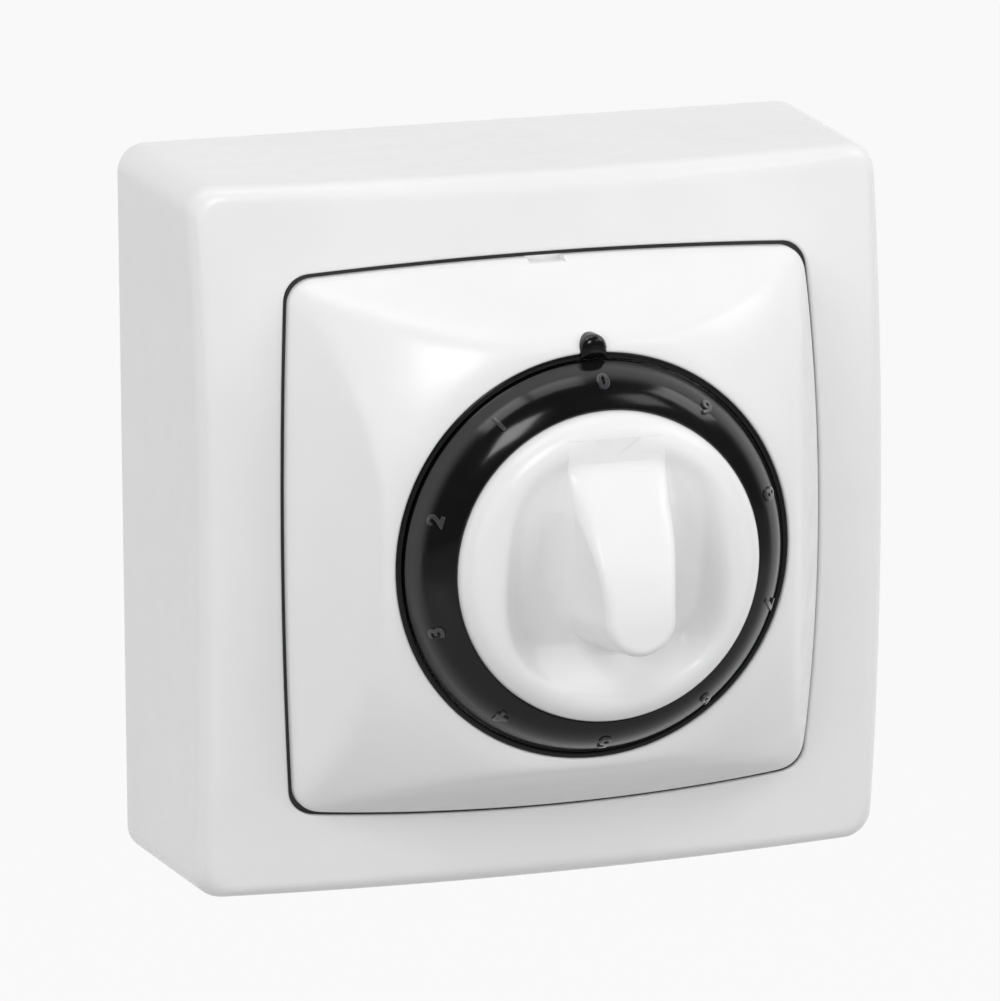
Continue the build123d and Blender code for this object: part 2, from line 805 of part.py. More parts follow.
pin_reach = escape_radius + pallet_pin_radius + pallet_pin_clear
pin_places = [reach(escape_at, pin_reach, pallet_direction + side * pin_angle) for side in (-1, 1)]
anchor_back = second_back + wheel_thickness + anchor_clear
with BuildPart() as pallet_arbor:
    add(rod(arbor_radius, arbor_back, arbor_front, (pallet_at,)))
    add(rod(pivot_radius, chassis_front, front_plate_front, (pallet_at,)))
pallet_arbor.part.label = "pallet_arbor"
export_step(pallet_arbor.part, "parts/pallet_arbor.step")

with BuildPart() as pallet_anchor:
    with BuildSketch(front_plane(anchor_back)):
        for place in pin_places:
            with BuildLine():
                Line(pallet_at, place)
            trace(line_width=anchor_width)
        with Locations(*pin_places):
            Circle(anchor_width / 2)
        with Locations(pallet_at):
            Circle(anchor_width)
            Circle(arbor_radius + seat_gap, mode=Mode.SUBTRACT)
    extrude(amount=anchor_thickness)
    add(rod(pallet_pin_radius, second_back, anchor_back + anchor_thickness, pin_places))
pallet_anchor.part.label = "pallet_anchor"
export_step(pallet_anchor.part, "parts/pallet_anchor.step")

with BuildPart() as balance_wheel:
    with BuildSketch(front_plane(balance_back)):
        with Locations(pallet_at):
            Circle(balance_radius)
            Circle(balance_radius - balance_rim, mode=Mode.SUBTRACT)
            Rectangle(2 * balance_radius - balance_rim, balance_rim)
            Circle(2 * arbor_radius)
            Circle(arbor_radius + seat_gap, mode=Mode.SUBTRACT)
    extrude(amount=wheel_thickness)
balance_wheel.part.label = "balance_wheel"
export_step(balance_wheel.part, "parts/balance_wheel.step")

# Switch cam: round, with one nose that holds the contacts open when the dial is at 0
with BuildPart() as switch_cam:
    with BuildSketch(front_plane(cam_depth)):
        Circle(cam_radius)
        with Locations((0, -cam_nose + cam_nose_radius)):
            Circle(cam_nose_radius)
        make_hull()
        Circle(spindle_radius + seat_gap, mode=Mode.SUBTRACT)
    extrude(amount=cam_thickness)
switch_cam.part.label = "switch_cam"
export_step(switch_cam.part, "parts/switch_cam.step")

# Contacts: a sprung blade under the cam and a fixed strip, each with a silver rivet
block_half = post_place - post_half - block_side_gap
block_bottom = post_half + block_bottom_gap - post_place
terminal_side = block_half - block_wall - terminal_side_gap - terminal_width / 2
terminal_place = block_bottom + block_wall + terminal_width / 2
strip_depth = cam_depth + cam_thickness / 2 - blade_width / 2
blade_top = -cam_nose - contact_gap - blade_thickness / 2
blade_end = terminal_side - terminal_width / 2 - blade_end_gap
fixed_line = terminal_place + terminal_width / 2 + blade_thickness / 2
fixed_contact_place = blade_top + contact_opening
with BuildPart() as contact_blade:
    with BuildSketch(front_plane(strip_depth)):
        with BuildLine():
            FilletPolyline(
                (-terminal_side - terminal_width / 2, fixed_line),
                (-terminal_side + terminal_width / 2, fixed_line),
                (-blade_hump_half, blade_top - blade_hump_height),
                (0, blade_top),
                (blade_hump_half, blade_top - blade_hump_height),
                (blade_end, blade_top - blade_drop),
                radius=strip_bend,
            )
        trace(line_width=blade_thickness)
    extrude(amount=blade_width)
contact_blade.part.label = "contact_blade"
export_step(contact_blade.part, "parts/contact_blade.step")

with BuildPart() as fixed_contact:
    with BuildSketch(front_plane(strip_depth)):
        with BuildLine():
            FilletPolyline(
                (terminal_side - terminal_width / 2, fixed_line),
                (terminal_side + terminal_width / 2, fixed_line),
                (terminal_side + terminal_width / 2, fixed_contact_place),
                (blade_end - contact_overlap, fixed_contact_place),
                radius=strip_bend,
            )
        trace(line_width=blade_thickness)
    extrude(amount=blade_width)
fixed_contact.part.label = "fixed_contact"
export_step(fixed_contact.part, "parts/fixed_contact.step")

# Switch block: the moulded tray that holds the terminals and contacts behind the chassis
terminal_places = ((-terminal_side, terminal_place), (terminal_side, terminal_place))
block_height = block_top - block_bottom
block_middle = (block_top + block_bottom) / 2
wire_depth = block_depth + block_floor + terminal_depth / 2
with BuildPart() as switch_block:
    with BuildSketch(front_plane(block_depth)):
        with Locations((0, block_middle)):
            Rectangle(2 * block_half, block_height)
    extrude(amount=chassis_depth - block_depth)
    with BuildSketch(front_plane(block_depth + block_floor)):
        with Locations((0, block_middle + block_wall)):
            Rectangle(2 * block_half - 2 * block_wall, block_height)
    extrude(amount=chassis_depth - block_depth, mode=Mode.SUBTRACT)
    screw_room = terminal_screw_radius + hole_clear
    add(rod(screw_room, block_depth, chassis_depth, terminal_places), mode=Mode.SUBTRACT)
    with BuildSketch(Plane.XY.offset(block_bottom)):
        with Locations((-terminal_side, -wire_depth), (terminal_side, -wire_depth)):
            Circle(wire_radius + hole_clear)
    extrude(amount=block_wall, mode=Mode.SUBTRACT)
switch_block.part.label = "switch_block"
export_step(switch_block.part, "parts/switch_block.step")

# Terminals and their clamp screws
terminal_back = block_depth + block_floor
for name, side in (("left", -1), ("right", 1)):
    with BuildPart() as terminal:
        with BuildSketch(front_plane(terminal_back)):
            with Locations((side * terminal_side, terminal_place)):
                Rectangle(terminal_width, terminal_width)
                Circle(clamp_radius + seat_gap, mode=Mode.SUBTRACT)
        extrude(amount=terminal_depth - terminal_width / 2)
        with BuildSketch(front_plane(terminal_back + terminal_depth - terminal_width / 2)):
            with Locations((side * terminal_side, terminal_place)):
                Rectangle(terminal_width, terminal_width)
        extrude(amount=terminal_width / 2)
        with BuildSketch(Plane.XY.offset(terminal_place - terminal_width / 2)):
            with Locations((side * terminal_side, -wire_depth)):
                Circle(wire_radius)
        extrude(amount=terminal_width, mode=Mode.SUBTRACT)
    terminal.part.label = name + "_terminal"
    export_step(terminal.part, "parts/" + name + "_terminal.step")

with BuildPart() as terminal_screws:
    add(rod(clamp_radius, terminal_back, terminal_back + clamp_length, terminal_places))
    add(rod(terminal_screw_radius, block_depth, terminal_back, terminal_places))
terminal_screws.part.label = "terminal_screws"
export_step(terminal_screws.part, "parts/terminal_screws.step")
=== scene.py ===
"""Looks of the clockwork timer switch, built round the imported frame.

Lengths are in millimetres until a mesh is made, and meshes are in metres. The wall is the plane
y = 0, the front looks along -Y and depth is measured from the wall towards the front. Flat points
are pairs (x, z) as seen from the front.
"""

import json
import math

import bmesh
import bpy
import numpy as np
from mathutils import Matrix, Vector


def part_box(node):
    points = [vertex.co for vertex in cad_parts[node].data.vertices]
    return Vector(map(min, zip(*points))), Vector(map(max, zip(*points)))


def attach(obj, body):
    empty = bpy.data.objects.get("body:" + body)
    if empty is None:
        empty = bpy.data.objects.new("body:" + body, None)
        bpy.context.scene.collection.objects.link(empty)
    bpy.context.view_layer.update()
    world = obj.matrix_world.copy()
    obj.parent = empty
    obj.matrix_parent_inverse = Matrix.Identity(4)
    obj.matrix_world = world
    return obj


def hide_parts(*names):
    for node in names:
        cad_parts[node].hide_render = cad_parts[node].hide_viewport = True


MM = 0.001

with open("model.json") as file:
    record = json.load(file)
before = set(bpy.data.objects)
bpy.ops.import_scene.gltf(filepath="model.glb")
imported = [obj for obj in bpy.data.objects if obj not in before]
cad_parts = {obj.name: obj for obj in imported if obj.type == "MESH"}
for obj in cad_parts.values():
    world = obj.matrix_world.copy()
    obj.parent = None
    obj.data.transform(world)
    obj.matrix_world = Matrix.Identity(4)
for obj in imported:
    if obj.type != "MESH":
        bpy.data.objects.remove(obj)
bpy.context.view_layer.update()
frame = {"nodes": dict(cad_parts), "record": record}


def node_box(node):
    """Lowest and highest corner of a CAD node, in millimetres."""
    low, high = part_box(node)
    return np.array(low) / MM, np.array(high) / MM


case_low, case_high = node_box("surround")
cover_low, cover_high = node_box("cover_plate")
index_high = node_box("index_ring")[1]
dial_low, dial_high = node_box("dial_ring")
knob_low, knob_high = node_box("knob")

# Surround
case_half = case_high[0]
case_depth = -case_low[1]
case_corner = 3.3
case_draft = math.tan(math.radians(1.5))
case_wall = 2.2
case_edge_round = 2.4
edge_depth_guess = 28.0
edge_depth_rounds = 6
back_edge_round = 0.35
front_sphere = 235.0
seam_gap = 0.45
seam_half = cover_high[0] + seam_gap
seam_bow = 1.32
seam_corner = 2.8
seam_edge_round = 0.45
skirt_depth = 8.0
front_apex = case_depth + front_sphere - math.sqrt(front_sphere**2 - seam_half**2)

# Cover, its notch and the dark strip behind the seam, which is painted shade that darkens the gap
cover_back = -cover_high[1]
rim_depth = -cover_low[1]
side_sphere = 235.0
dome_sphere = 55.2
ridge_blend = 0.55
rim_blend = 0.5
cover_wall = 2.0
cover_edge_round = 0.55
underside_start = 0.15
underside_gap = 0.3
well_floor_depth = 44.0
well_radius = dial_high[0] + 0.9
well_lip_round = 0.3
rim_radius = well_radius + 1.12
hub_hole_radius = 3.5
notch_width = 4.4
notch_height = 0.5
notch_depth = 0.6
notch_side = -1.2
notch_reach = 3.0
# A dark strip sunk in the seam: painted shade, so the gap between the white parts looks dark
shade_strip_depth = 0.55
shade_strip_thickness = 1.0
shade_strip_clearance = 0.01

# Index ring and its tab
index_inner = dial_high[0] + 0.2
index_outer = well_radius - 0.03
index_front = rim_depth - 0.25
index_edge_round = 0.15
tab_half = 1.65
tab_top = index_high[2] - 1.0
tab_bottom = index_outer - 0.6
tab_root_depth = rim_depth - 3.0
tab_stand = 0.55
tab_edge_round = 1.25
tab_edge_height = tab_edge_round * 0.85

# Dial ring and its numerals
dial_radius = dial_high[0]
dial_back_depth = -dial_high[1]
dial_back_chamfer = 0.2
dial_edge_depth = 47.0
dial_edge_round = 0.5
dial_edge_inset = dial_edge_round * 0.6
dial_face_start = 0.1
dial_swell = 0.7
dial_top_depth = -dial_low[1]
bore_radius = 18.22
bore_edge_round = 0.25
numeral_height = 2.0
numeral_height_share = 0.7
numeral_relief = 0.2
numeral_bevel = 0.09
numeral_swell = 0.02
numeral_place = 0.46
numeral_count = 10

# Knob: heights are above the rim of its cap, and places are heights z above its axis
knob_radius = 18.2
knob_shell_back = -knob_high[1] + 3.0
shoulder_width = 3.1
shoulder_height = 2.9
dish_half = 12.4
dish_up = 12.8
dish_middle = 1.0
dish_square = 2.9
dish_fold = -8.7
dish_low = -0.5
dish_tilt = 0.135
dish_wall_start = 1.7
dish_wall_curve = 0.36
lip_slope = 0.95
lip_blend = 0.25
dish_blend = 0.2
cap_blend = 0.5

# Grip of the knob
grip_top = 2.5
grip_middle = 9.5
grip_nose = -knob_low[1] - dial_top_depth
grip_top_place = 12.2
grip_middle_place = 3.5
grip_nose_place = -5.3
grip_nose_end = -8.0
grip_top_half = 5.83
grip_nose_half = 4.07
grip_nose_middle = grip_nose_end + grip_nose_half
grip_draft = math.tan(math.radians(7.0))
grip_root_place = 15.6
grip_spine_end = grip_root_place - 2.0
grip_foot_round = 3.2
grip_nose_round = 0.9
foot_round_from = -7.0
foot_round_over = 7.0
foot_round_share = 0.62
foot_rounds = 8
grip_edge_round = 1.0
grip_top_soft = 1.8
top_soft_from = 2.0
top_soft_over = 10.0
edge_round_share = 0.5
grip_blend = 0.45
grip_top_blend = 1.0
top_blend_from = 4.0
top_blend_over = 8.0

# Meshes: angles, the distance in metres at which points merge, how full a rounding is, and steps
sharp_degrees = 38.0
knob_sharp_degrees = 60.0
numeral_sharp_degrees = 50.0
merge_distance = 1e-7
full_bend = 0.85
slack_bend = 0.8
turn_steps = 288
case_wall_steps = 9
case_edge_steps = 9
front_steps = 20
seam_lip_steps = 4
cover_edge_steps = 5
cover_face_steps = 56
well_lip_steps = 3
underside_steps = 12
tab_edge_steps = 12
dial_face_steps = 30
dial_edge_steps = 8
numeral_bevel_steps = 3
numeral_curve_steps = 6
cap_steps = 96
grip_foot_steps = 16
grip_wall_steps = 26
grip_edge_steps = 7
grip_top_steps = 18


# Flat outlines and loops
def across(half, bow, corner, side_steps=20, corner_steps=9):
    """Points (x, z) clockwise round a square whose sides bow out, from the middle of the top side."""
    reach = half - bow

    def side_height(x):
        return half - bow * (x / reach) ** 2

    start = reach - corner
    slope = -2 * bow * start / reach**2
    meet = (side_height(start) - slope * start) / (1 - slope)
    weight = math.cos(math.pi / 4 + math.atan(slope))
    first = [(x, side_height(x)) for x in np.linspace(0, start, side_steps, endpoint=False)]
    turn = []
    for t in np.linspace(0, 1, corner_steps, endpoint=False):
        a, b, c = (1 - t) ** 2, 2 * t * (1 - t) * weight, t**2
        x = (a * start + b * meet + c * side_height(start)) / (a + b + c)
        z = (a * side_height(start) + b * meet + c * start) / (a + b + c)
        turn.append((x, z))
    last = [(side_height(z), z) for z in np.linspace(start, 0, side_steps, endpoint=False)]
    quarter = np.array(first + turn + last)
    points = [quarter]
    for _ in range(3):
        x, z = points[-1].T
        points.append(np.stack([z, -x], 1))
    return np.concatenate(points)


def circle(radius, like):
    """Points (x, z) on a circle, in the directions of the points like."""
    size = np.hypot(*like.T)
    return like / size[:, None] * radius


def at_depth(flat, depth):
    """Points (x, y, z) from flat points (x, z) and one depth or a depth for each."""
    depths = np.broadcast_to(depth, len(flat))
    return np.stack([flat[:, 0], -depths, flat[:, 1]], 1)


def bend(first, corner, last, steps, weight=full_bend):
    """Loops that round a corner between two loops, without the two themselves."""
    loops = []
    for t in np.linspace(0, 1, steps + 2)[1:-1]:
        a, b, c = (1 - t) ** 2, 2 * t * (1 - t) * weight, t**2
        loops.append((a * first + b * corner + c * last) / (a + b + c))
    return loops


def arc(centre, radius, start, end, steps=5):
    """Profile points on an arc, with angles in degrees from the radius direction towards the front."""
    angles = np.radians(np.linspace(start, end, steps + 1))
    return [(centre[0] + radius * math.cos(a), centre[1] + radius * math.sin(a)) for a in angles]


# Soft joints between heights
def soft_least(heights, blend):
    """The lowest of several heights, with soft joints."""
    lowest = np.min(heights, axis=0)
    return lowest - blend * np.log(sum(np.exp(-(h - lowest) / blend) for h in heights))


def soft_most(heights, blend):
    """The highest of several heights, with soft joints."""
    return -soft_least([-h for h in heights], blend)


def soft_step(value):
    """Runs smoothly from 0 to 1 as the value does."""
    v = np.clip(value, 0, 1)
    return v * v * (3 - 2 * v)


# Meshes from points
def add_object(name, data):
    """A new object in the scene."""
    piece = bpy.data.objects.new(name, data)
    bpy.context.scene.collection.objects.link(piece)
    return piece


def make_mesh(name, points, faces, sharp_angle=sharp_degrees):
    """A smooth-shaded object from points in millimetres."""
    mesh = bpy.data.meshes.new(name)
    mesh.from_pydata((np.asarray(points) * MM).tolist(), [], faces)
    work = bmesh.new()
    work.from_mesh(mesh)
    bmesh.ops.remove_doubles(work, verts=work.verts, dist=merge_distance)
    bmesh.ops.recalc_face_normals(work, faces=work.faces)
    work.to_mesh(mesh)
    work.free()
    mesh.polygons.foreach_set("use_smooth", [True] * len(mesh.polygons))
    mesh.set_sharp_from_angle(angle=math.radians(sharp_angle))
    return add_object(name, mesh)


def skin(name, loops, caps=(), sharp_angle=sharp_degrees):
    """A skin over loops of points, closed into a ring or else with caps, 0 the first and -1 the last."""
    count = len(loops[0])
    points = np.concatenate(loops)
    faces = []
    rows = len(loops) - 1 if caps else len(loops)
    for row in range(rows):
        below, above = row * count, (row + 1) % len(loops) * count
        for i in range(count):
            j = (i + 1) % count
            faces.append((below + i, below + j, above + j, above + i))
    for cap in caps:
        start = cap % len(loops) * count
        middle = len(points)
        points = np.concatenate([points, loops[cap].mean(0)[None]])
        faces += [(start + i, start + (i + 1) % count, middle) for i in range(count)]
    return make_mesh(name, points, faces, sharp_angle)


def turn_profile(name, profile):
    """A turned ring from profile points (radius, depth)."""
    angles = np.linspace(0, 2 * math.pi, turn_steps, endpoint=False)
    ring = np.stack([np.sin(angles), np.cos(angles)], 1)
    return skin(name, [at_depth(ring * r, d) for r, d in profile])


# Surround: drafted walls, a soft edge and a front that swells up to the seam
def front_depth(flat, inset=0.0):
    """Depth of the surround's front at flat points, drawn in by inset."""
    far = (flat**2).sum(1)
    return front_apex - front_sphere + np.sqrt((front_sphere - inset) ** 2 - far)


def wall_loop(inset, depth):
    """The wall's outline at a depth or at a depth for each point."""
    whole = across(case_half - inset, 0, case_corner)
    size = np.broadcast_to(depth, len(whole)) * case_draft / (case_half - inset)
    return whole * (1 - size)[:, None]


def wall_edge(inset):
    """Outline and depths where the wall meets the front, both drawn in by inset."""
    depth = edge_depth_guess
    for _ in range(edge_depth_rounds):
        flat = wall_loop(inset, depth)
        depth = front_depth(flat, inset)
    return flat, depth


def build_surround():
    """The frame: outside from the wall to the seam, then inside back to the wall."""
    edge, edge_depth = wall_edge(0)
    seam = across(seam_half, seam_bow, seam_corner)
    seam_depth = front_depth(seam)
    loops = [
        at_depth(wall_loop(back_edge_round, 0), 0),
        at_depth(wall_loop(0, back_edge_round), back_edge_round),
    ]
    start = edge_depth - case_edge_round
    for share in np.linspace(0.1, 0.9, case_wall_steps):
        depth = back_edge_round + (start - back_edge_round) * share
        loops.append(at_depth(wall_loop(0, depth), depth))
    wall_end = at_depth(wall_loop(0, start), start)
    inward = seam - edge
    length = np.hypot(*inward.T)[:, None]
    front_flat = edge + inward / length * case_edge_round
    front_start = at_depth(front_flat, front_depth(front_flat))
    case_edge = bend(wall_end, at_depth(edge, edge_depth), front_start, case_edge_steps)
    loops += [wall_end, *case_edge, front_start]
    seam_flat = seam - inward / length * seam_edge_round
    for share in np.linspace(0, 1, front_steps)[1:]:
        flat = front_flat + (seam_flat - front_flat) * share
        loops.append(at_depth(flat, front_depth(flat)))
    lip_end = at_depth(seam, seam_depth - seam_edge_round)
    loops += [*bend(loops[-1], at_depth(seam, seam_depth), lip_end, seam_lip_steps), lip_end]
    outside = across(seam_half + case_wall, seam_bow, seam_corner)
    inside, inside_depth = wall_edge(case_wall)
    loops += [
        at_depth(seam, seam_depth - skirt_depth),
        at_depth(outside, seam_depth - skirt_depth),
        at_depth(outside, front_depth(outside, case_wall)),
        at_depth(inside, inside_depth),
        at_depth(wall_loop(case_wall, 0), 0),
    ]
    piece = skin("surround_shell", loops)
    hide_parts("surround")
    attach(piece, "case")
    return piece


# Cover: four soft faces that climb from the seam and melt into a dome round the dial
def cover_depth(flat, inset=0.0):
    """Depth of the cushion at flat points, drawn in by inset."""
    rise = rim_depth - case_depth
    run = seam_half - rim_radius
    length = math.hypot(run, rise)
    back = math.sqrt(side_sphere**2 - length**2 / 4) / length
    middle = (seam_half + rim_radius) / 2 - rise * back
    middle_depth = (rim_depth + case_depth) / 2 - run * back
    x, z = flat.T
    sides = []
    for side, up in ((0, 1), (1, 0), (0, -1), (-1, 0)):
        far = (x - side * middle) ** 2 + (z - up * middle) ** 2
        sides.append(middle_depth + np.sqrt((side_sphere - inset) ** 2 - far))
    dome = rim_depth - math.sqrt(dome_sphere**2 - rim_radius**2)
    sides.append(dome + np.sqrt((dome_sphere - inset) ** 2 - x**2 - z**2))
    body = soft_least(sides, ridge_blend)
    return soft_least([body, np.full(len(flat), rim_depth - inset)], rim_blend)


def cut_notch(piece):
    """The small slot for a screwdriver in the cover's top edge."""
    cutter_mesh = bpy.data.meshes.new("notch_cutter")
    work = bmesh.new()
    bmesh.ops.create_cube(work, size=1.0)
    work.to_mesh(cutter_mesh)
    work.free()
    cutter = add_object("notch_cutter", cutter_mesh)
    cutter.scale = Vector((notch_width, 2 * notch_depth + notch_reach, 2 * notch_height)) * MM
    cutter.location = Vector((notch_side, -case_depth - notch_reach / 2, cover_high[2])) * MM
    change = piece.modifiers.new("notch", "BOOLEAN")
    change.object = cutter
    change.solver = "EXACT"
    graph = bpy.context.evaluated_depsgraph_get()
    cut = bpy.data.meshes.new_from_object(piece.evaluated_get(graph))
    piece.modifiers.clear()
    piece.data = cut
    cut.set_sharp_from_angle(angle=math.radians(sharp_degrees))
    bpy.data.objects.remove(cutter)
    bpy.data.meshes.remove(cutter_mesh)


def build_cover():
    """The cushion: its edge, its face, the well for the dial and its underside."""
    outline = across(seam_half - seam_gap, seam_bow, seam_corner)
    outline_depth = cover_depth(outline)
    well = circle(well_radius, outline)
    inward = (well - outline) / np.hypot(*(well - outline).T)[:, None]
    edge_flat = outline + inward * cover_edge_round
    edge = at_depth(edge_flat, cover_depth(edge_flat))
    side = at_depth(outline, outline_depth - cover_edge_round)
    corner = at_depth(outline, outline_depth)
    loops = [
        at_depth(outline, cover_back),
        side,
        *bend(side, corner, edge, cover_edge_steps),
        edge,
    ]
    land = circle(well_radius + well_lip_round, outline)
    land_depth = cover_depth(land)
    for share in np.linspace(0, 1, cover_face_steps)[1:]:
        flat = edge_flat + (land - edge_flat) * share
        loops.append(at_depth(flat, cover_depth(flat)))
    lip_end = at_depth(well, land_depth - well_lip_round)
    loops += [*bend(loops[-1], at_depth(well, land_depth), lip_end, well_lip_steps), lip_end]
    hub_hole = circle(hub_hole_radius, outline)
    well_back = circle(well_radius + cover_wall, outline)
    loops += [
        at_depth(well, well_floor_depth),
        at_depth(hub_hole, well_floor_depth),
        at_depth(hub_hole, well_floor_depth - cover_wall),
        at_depth(well_back, well_floor_depth - cover_wall),
    ]
    skirt = outline * (1 - cover_wall / np.hypot(*outline.T))[:, None]
    for share in np.linspace(underside_start, 1, underside_steps):
        flat = well_back + (skirt - well_back) * share
        loops.append(at_depth(flat, cover_depth(flat, cover_wall) - underside_gap))
    loops.append(at_depth(skirt, cover_back))
    piece = skin("cover_shell", loops)
    cut_notch(piece)
    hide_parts("cover_plate")
    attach(piece, "case")
    return piece


def build_seal():
    """A dark strip in the seam between the cover and the surround: painted shade that makes the gap look
    dark.
    """
    outer = across(seam_half - shade_strip_clearance, seam_bow, seam_corner)
    inner = across(seam_half - seam_gap + shade_strip_clearance, seam_bow, seam_corner)
    front = front_depth(outer) - shade_strip_depth
    back = front - shade_strip_thickness
    loops = [
        at_depth(outer, back),
        at_depth(outer, front),
        at_depth(inner, front),
        at_depth(inner, back),
    ]
    piece = skin("seam_painted_shade", loops)
    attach(piece, "case")
    return piece


# Index ring: a glossy ring sunk between the cover and the dial, with a small domed tab at the top
def build_index_ring():
    """The ring, with its two front edges rounded."""
    edge_depth = index_front - index_edge_round
    inner_edge = (index_inner + index_edge_round, edge_depth)
    outer_edge = (index_outer - index_edge_round, edge_depth)
    profile = [
        (index_inner, well_floor_depth),
        (index_inner, edge_depth),
        *arc(inner_edge, index_edge_round, 180, 90),
        *arc(outer_edge, index_edge_round, 90, 0),
        (index_outer, well_floor_depth),
    ]
    piece = turn_profile("index_ring_trim", profile)
    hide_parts("index_ring")
    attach(piece, "case")
    return piece


def tab_outline(inset, steps=14):
    """The tab's outline: a round top and a short straight stem, drawn in by inset."""
    half = tab_half - inset
    centre = tab_top - tab_half
    base = tab_bottom + inset
    points = []
    for angle in np.radians(np.linspace(-90, 90, 2 * steps + 1)):
        points.append((half * math.sin(angle), centre + half * math.cos(angle)))
    shares = np.linspace(0, 1, steps + 1)[1:]
    points += [(half, centre + (base - centre) * share) for share in shares]
    points += [(half - 2 * half * share, base) for share in shares]
    points += [(-half, base + (centre - base) * share) for share in shares[:-1]]
    return np.array(points)


def build_index_tab():
    """The tab, domed over its whole width."""
    front = rim_depth + tab_stand
    loops = [at_depth(tab_outline(0), tab_root_depth)]
    for angle in np.radians(np.linspace(0, 90, tab_edge_steps)):
        inset = tab_edge_round * (1 - math.cos(angle))
        loops.append(at_depth(tab_outline(inset), front - tab_edge_height * (1 - math.sin(angle))))
    piece = skin("index_tab", loops, caps=(0, -1))
    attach(piece, "case")
    return piece


# Dial ring: a convex face with a soft outer edge, which carries the numerals
def face_point(share, lift=0.0):
    """(radius, depth) on the dial's face, from its outer edge at 0 to its bore at 1, lifted off it."""
    outer = (dial_radius - dial_edge_inset, dial_edge_depth)
    inner = (bore_radius + bore_edge_round, dial_top_depth)
    run, rise = outer[0] - inner[0], inner[1] - outer[1]
    length = math.hypot(run, rise)
    lifted = dial_swell * 4 * share * (1 - share) + lift
    radius = outer[0] - run * share + rise / length * lifted
    return radius, outer[1] + rise * share + run / length * lifted


def build_dial():
    """The ring: its back, its soft outer edge, its face and the edge of its bore."""
    face = [face_point(share) for share in np.linspace(dial_face_start, 1, dial_face_steps)]
    edge_start = np.array((dial_radius, dial_edge_depth - dial_edge_round))
    edge_end = np.array(face[0])
    slope = edge_end - np.array(face[1])
    corner = edge_end + slope * ((dial_radius - face[0][0]) / slope[0])
    edge = bend(edge_start, corner, edge_end, dial_edge_steps, slack_bend)
    lip_centre = (bore_radius + bore_edge_round, dial_top_depth - bore_edge_round)
    profile = [
        (bore_radius, dial_back_depth),
        (dial_radius - dial_back_chamfer, dial_back_depth),
        (dial_radius, dial_back_depth + dial_back_chamfer),
        edge_start,
        *edge,
        *face,
        *arc(lip_centre, bore_edge_round, 90, 180)[1:],
    ]
    piece = turn_profile("dial_ring_shell", profile)
    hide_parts("dial_ring")
    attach(piece, "dial")
    return piece


def numeral_mesh(text):
    """Points and faces of one raised numeral, in millimetres, its middle at the origin."""
    curve = bpy.data.curves.new("numeral", "FONT")
    curve.body = text
    curve.size = numeral_height / numeral_height_share
    curve.align_x = "CENTER"
    curve.align_y = "CENTER"
    curve.extrude = numeral_relief
    curve.bevel_depth = numeral_bevel
    curve.bevel_resolution = numeral_bevel_steps
    curve.offset = numeral_swell
    curve.resolution_u = numeral_curve_steps
    shape = add_object("numeral", curve)
    graph = bpy.context.evaluated_depsgraph_get()
    mesh = bpy.data.meshes.new_from_object(shape.evaluated_get(graph))
    points = np.array([v.co for v in mesh.vertices], float)
    for axis in (0, 1):
        points[:, axis] -= (points[:, axis].max() + points[:, axis].min()) / 2
    faces = [tuple(p.vertices) for p in mesh.polygons]
    bpy.data.objects.remove(shape)
    bpy.data.meshes.remove(mesh)
    return points, faces


def build_numerals():
    """All numerals, bent onto the dial's face with 0 at the top and the rest anticlockwise."""
    outer, inner = face_point(0), face_point(1)
    face_length = math.hypot(outer[0] - inner[0], inner[1] - outer[1])
    points, faces = [], []
    for number in range(numeral_count):
        flat, shapes = numeral_mesh(str(number))
        start = len(points)
        turn = 2 * math.pi * number / numeral_count
        for u, v, w in flat:
            radius, depth = face_point(numeral_place - v / face_length, w)
            angle = u / radius - turn
            points.append((radius * math.sin(angle), -depth, radius * math.cos(angle)))
        faces += [tuple(start + i for i in shape) for shape in shapes]
    piece = make_mesh("dial_numerals", points, faces, numeral_sharp_degrees)
    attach(piece, "dial")
    return piece


# Knob: a cap with a soft squarish dish, cut off below, and a tall grip that tapers to a round nose
def crown(flat):
    """Height of the plain cap above its rim: a round shoulder and a flat top."""
    r = np.hypot(*flat.T)
    share = np.clip((r - knob_radius + shoulder_width) / shoulder_width, 0, 1)
    return shoulder_height * np.sqrt(1 - share**2)


def dish_height(flat):
    """Height of the dish's floor and of its rising walls above the knob's rim."""
    x, z = flat.T
    floor = dish_low + (z - dish_fold) * dish_tilt
    square = (np.abs(x) / dish_half) ** dish_square + (np.abs(z - dish_middle) / dish_up) ** dish_square
    out = (square ** (1 / dish_square) - 1) * dish_half + dish_wall_start
    wall = dish_wall_curve * np.maximum(out, 0) ** 2
    lip = lip_slope * soft_most([dish_fold - z, np.zeros(len(z))], lip_blend)
    return floor + soft_most([wall, lip], dish_blend)


def knob_height(flat):
    """Height of the dished cap above its rim."""
    return soft_least([crown(flat), dish_height(flat)], cap_blend)


def crest_height(z):
    """Height of the grip's crest above the rim, from the top down to the nose."""
    places = np.array([grip_top_place, grip_middle_place, grip_nose_place])
    heights = np.array([grip_top, grip_middle, grip_nose])
    a, b, c = np.polyfit(places, heights, 2)
    flat_from = max(-b / (2 * a), grip_nose_place)
    held = np.maximum(z, flat_from)
    return a * held**2 + b * held + c


def grip_softness(z):
    """How softly the grip melts into the cap, most at its top."""
    share = soft_step((z - top_blend_from) / top_blend_over)
    return grip_blend + (grip_top_blend - grip_blend) * share


def crest_top(flat):
    """Height of the grip's top where it melts into the cap."""
    z = flat[:, 1]
    return soft_most([crest_height(z), knob_height(flat)], grip_softness(z))


def grip_half(z):
    """Half the width of the grip's crest."""
    share = (z - grip_nose_middle) / (grip_top_place - grip_nose_middle)
    return grip_nose_half + (grip_top_half - grip_nose_half) * soft_step(share)


